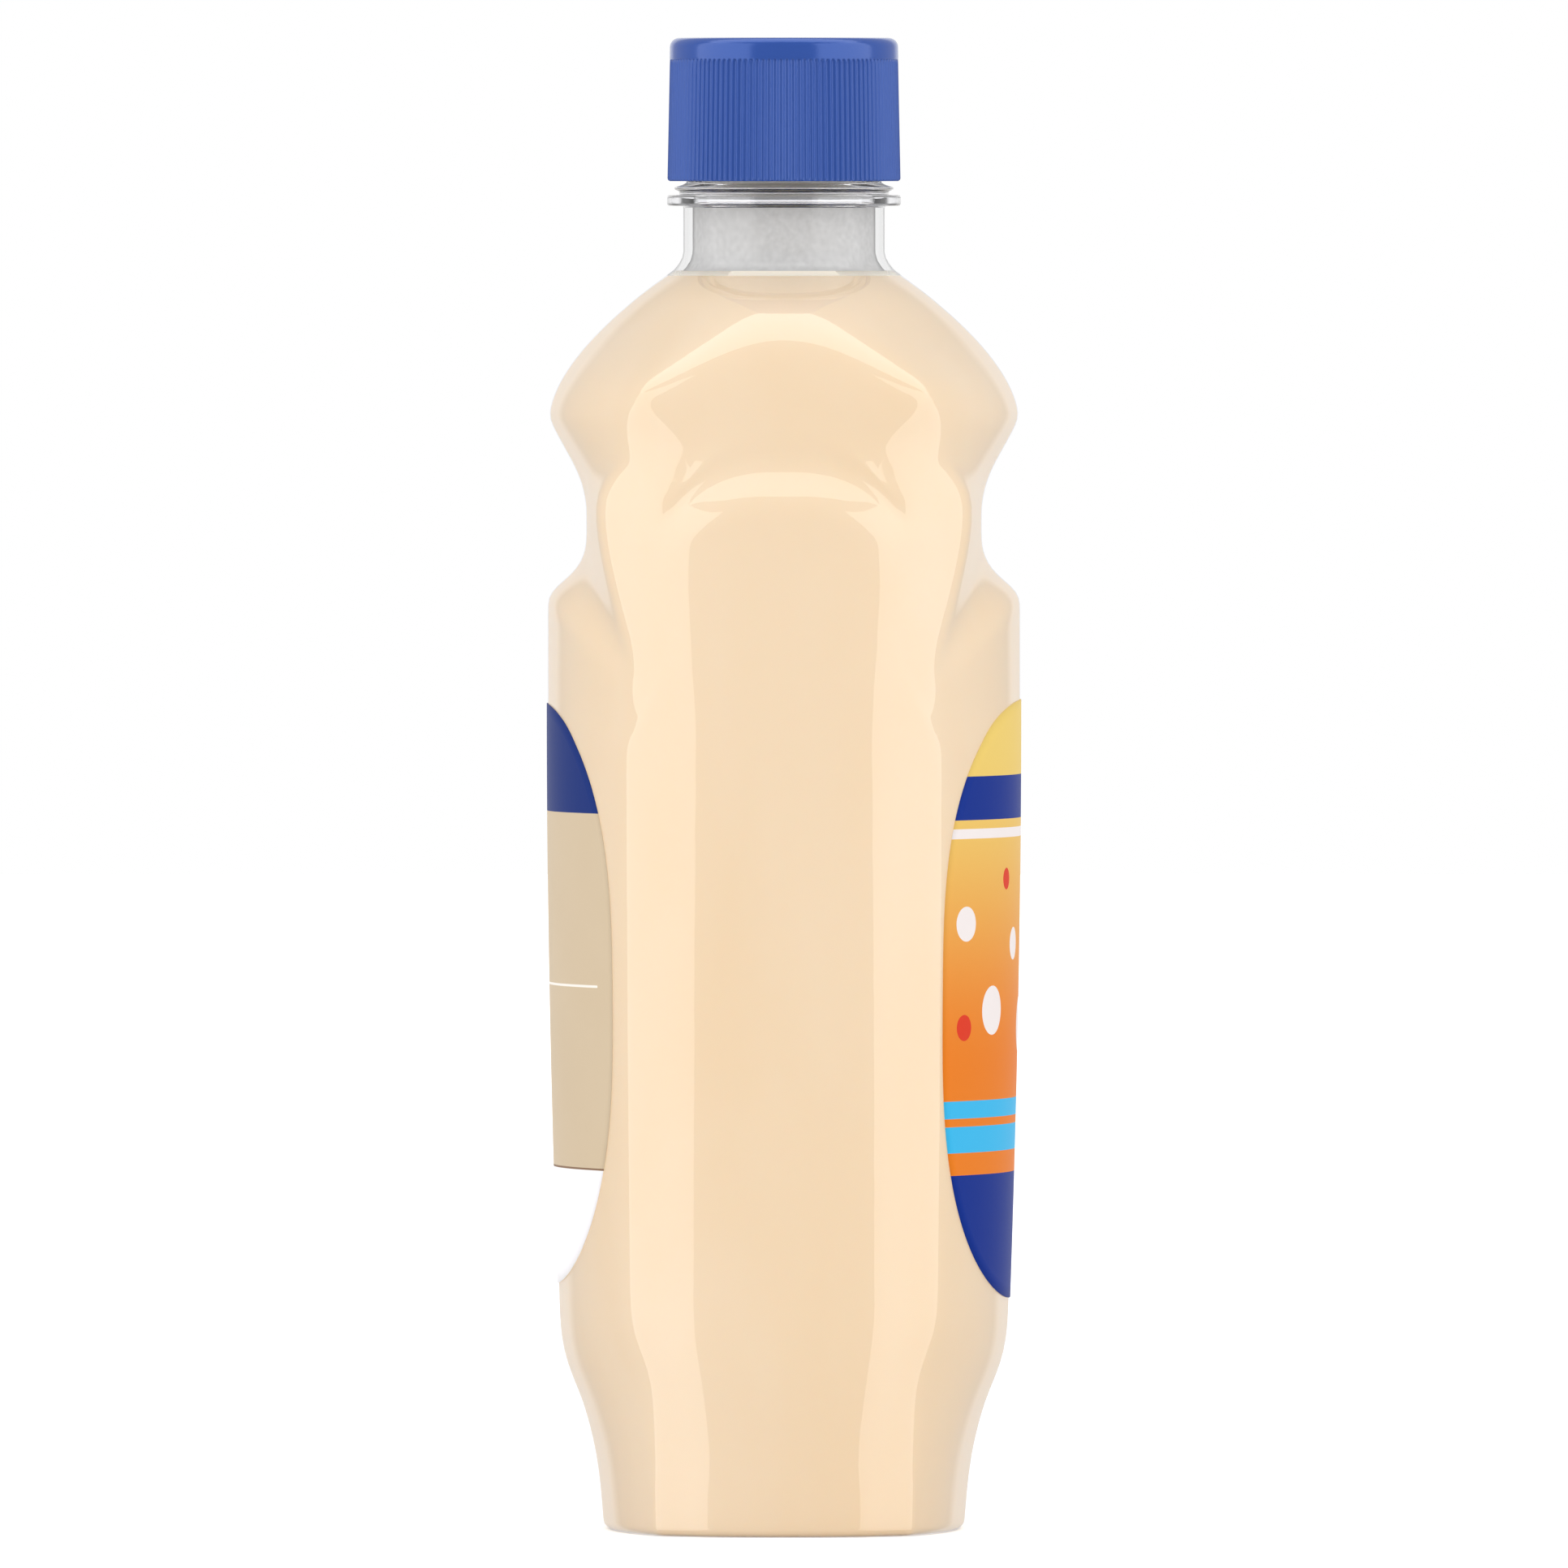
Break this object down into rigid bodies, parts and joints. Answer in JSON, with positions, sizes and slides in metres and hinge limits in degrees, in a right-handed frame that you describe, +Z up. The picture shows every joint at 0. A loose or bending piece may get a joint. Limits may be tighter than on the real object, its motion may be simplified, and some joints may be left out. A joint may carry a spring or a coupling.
{
  "type": "hand soap refill bottle",
  "caption": "Clear blow-moulded refill bottle with finger recesses, film labels, cream liquid soap and a ribbed blue screw cap.",
  "frame": {"origin": "middle of the base, on the plane that the foot stands on", "axes": "+X along the bottle's width, -Y towards the front label, +Z up along the neck's axis"},
  "size_m": [0.107, 0.0874, 0.2743],
  "materials": {
    "clear_pet": "clear gloss",
    "liquid_soap": "opaque pearly liquid",
    "front_film": "printed gloss film",
    "back_film": "printed gloss film",
    "liner_foam": "matte foam",
    "cap_plastic": "satin moulded"
  },
  "bodies": {
    "bottle": {"bottle": "clear_pet", "soap": "liquid_soap", "front_label": "front_film", "back_label": "back_film"},
    "liner": {"cap_liner": "liner_foam"},
    "cap": {"cap": "cap_plastic"}
  },
  "joints": [
    {"name": "cap_lift", "type": "slide", "parent": "bottle", "child": "liner", "axis": [0, 0, 1], "range_m": [0, 0.0254]},
    {"name": "cap_turn", "type": "hinge", "parent": "liner", "child": "cap", "pos_m": [0, 0, 0.26], "axis": [0, 0, 1], "range_deg": [0, 2160]}
  ],
  "couplings": [
    {"joint": "cap_turn", "follows": "cap_lift", "rad_per_m": 1484.3}
  ]
}
